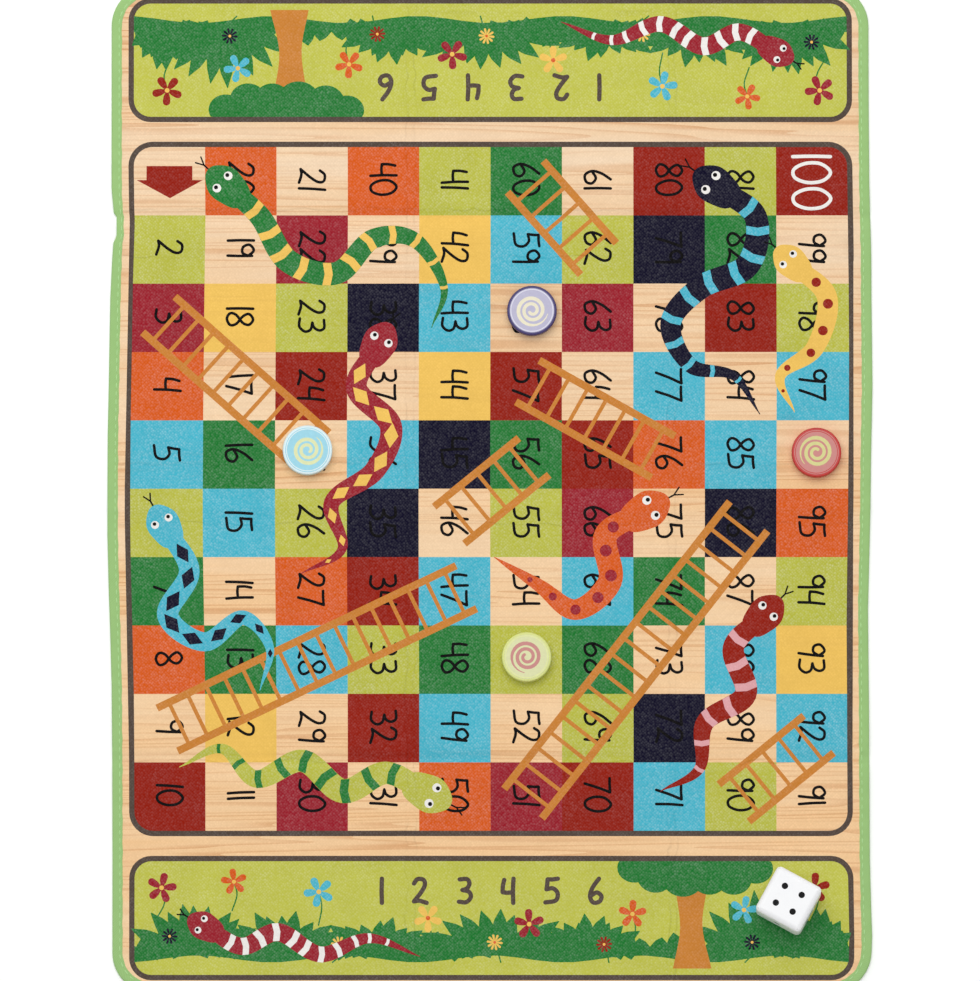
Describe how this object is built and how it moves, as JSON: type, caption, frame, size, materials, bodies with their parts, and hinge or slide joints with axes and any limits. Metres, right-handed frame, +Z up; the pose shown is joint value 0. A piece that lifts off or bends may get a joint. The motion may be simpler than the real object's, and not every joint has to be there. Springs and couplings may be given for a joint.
{
  "type": "snakes and ladders board",
  "caption": "Soft folding floor mat for snakes and ladders: printed squares, ladders and snakes on cloth with a sewn green edge binding, with loose wooden counters and a large die.",
  "frame": {"origin": "centre of the mat's underside", "axes": "+Z up from the floor, +Y along the mat's length towards the end where the last square is, +X to the right"},
  "size_m": [0.75, 1, 0.0526],
  "materials": {
    "printed_cloth": "matt woven polyester, printed in many colours on a wood-grain ground",
    "backing": "matt grey felt with a fine non-slip grip",
    "binding_tape": "pale green folded tape with a sewn edge",
    "purple_paint": "dark purple satin paint on wood",
    "purple_label": "printed label, satin",
    "blue_paint": "very pale blue satin paint on wood",
    "blue_label": "printed label, satin",
    "red_paint": "red satin paint on wood",
    "red_label": "printed label, satin",
    "yellow_paint": "pale yellow satin paint on wood",
    "yellow_label": "printed label, satin",
    "die_white": "white satin lacquer on wood",
    "pip_black": "black paint"
  },
  "bodies": {
    "mat": {"cloth_middle": "printed_cloth", "backing_middle": "backing", "binding_left": "binding_tape", "binding_right": "binding_tape"},
    "top_flap": {"cloth_top": "printed_cloth", "backing_top": "backing", "binding_top": "binding_tape"},
    "bottom_flap": {"cloth_bottom": "printed_cloth", "backing_bottom": "backing", "binding_bottom": "binding_tape"},
    "purple_counter": {"disc_purple": "purple_paint", "face_purple": "purple_label"},
    "blue_counter": {"disc_blue": "blue_paint", "face_blue": "blue_label"},
    "red_counter": {"disc_red": "red_paint", "face_red": "red_label"},
    "yellow_counter": {"disc_yellow": "yellow_paint", "face_yellow": "yellow_label"},
    "die": {"die_body": "die_white", "die_pips": "pip_black"}
  },
  "joints": [
    {"name": "top_fold", "type": "hinge", "parent": "mat", "child": "top_flap", "pos_m": [0, 0.269, 0.0032], "axis": [1, 0, 0], "range_deg": [0, 140]},
    {"name": "bottom_fold", "type": "hinge", "parent": "mat", "child": "bottom_flap", "pos_m": [0, -0.269, 0.0032], "axis": [-1, 0, 0], "range_deg": [0, 140]},
    {"name": "purple_lift", "type": "slide", "parent": "mat", "child": "purple_counter", "axis": [0, 0, 1], "range_m": [0, 0.04]},
    {"name": "blue_lift", "type": "slide", "parent": "mat", "child": "blue_counter", "axis": [0, 0, 1], "range_m": [0, 0.04]},
    {"name": "red_lift", "type": "slide", "parent": "mat", "child": "red_counter", "axis": [0, 0, 1], "range_m": [0, 0.04]},
    {"name": "yellow_lift", "type": "slide", "parent": "mat", "child": "yellow_counter", "axis": [0, 0, 1], "range_m": [0, 0.04]},
    {"name": "die_roll", "type": "hinge", "parent": "bottom_flap", "child": "die", "pos_m": [0.27194, -0.39886, 0.0026], "axis": [-0.4772, -0.8788, 0], "range_deg": [0, 90]}
  ]
}
